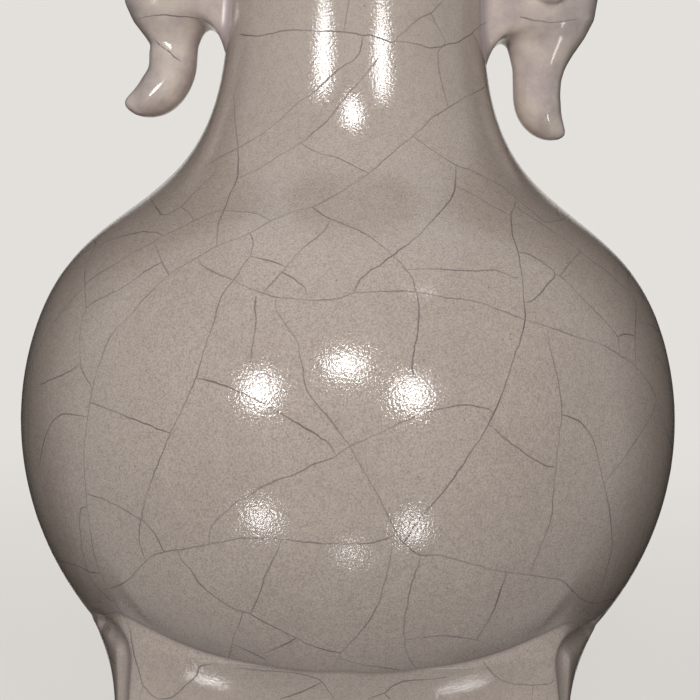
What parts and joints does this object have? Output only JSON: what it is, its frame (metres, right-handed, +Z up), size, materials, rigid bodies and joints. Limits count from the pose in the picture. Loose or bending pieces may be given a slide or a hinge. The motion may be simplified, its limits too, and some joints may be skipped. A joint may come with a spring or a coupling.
{
  "type": "vase",
  "caption": "Globular crackle-glazed vase with a drawn-in neck, elephant-head handles with hanging trunks, and a waisted lobed foot ring.",
  "frame": {"origin": "middle of the foot ring's underside, on the surface the vase stands on", "axes": "+Z up along the vase's axis, +X through the right-hand handle, the front faces -Y"},
  "size_m": [0.2, 0.2, 0.2984],
  "materials": {
    "lower_belly_glaze": "soft gloss, finely pitted, with dark crackle lines",
    "upper_belly_glaze": "soft gloss, finely pitted, with dark crackle lines",
    "neck_glaze": "soft gloss with dark crackle lines",
    "foot_glaze": "soft gloss with dark crackle lines, unglazed brown underside",
    "left_handle_glaze": "gloss, thick creamy glaze",
    "right_handle_glaze": "gloss, thick creamy glaze",
    "left_front_ear_glaze": "gloss, thick creamy glaze",
    "left_back_ear_glaze": "gloss, thick creamy glaze",
    "right_front_ear_glaze": "gloss, thick creamy glaze",
    "right_back_ear_glaze": "gloss, thick creamy glaze"
  },
  "bodies": {
    "root": {"lobed_foot": "foot_glaze", "lower_belly": "lower_belly_glaze", "upper_belly": "upper_belly_glaze", "neck": "neck_glaze", "left_handle": "left_handle_glaze", "right_handle": "right_handle_glaze", "left_front_ear": "left_front_ear_glaze", "left_back_ear": "left_back_ear_glaze", "right_front_ear": "right_front_ear_glaze", "right_back_ear": "right_back_ear_glaze"}
  },
  "joints": []
}
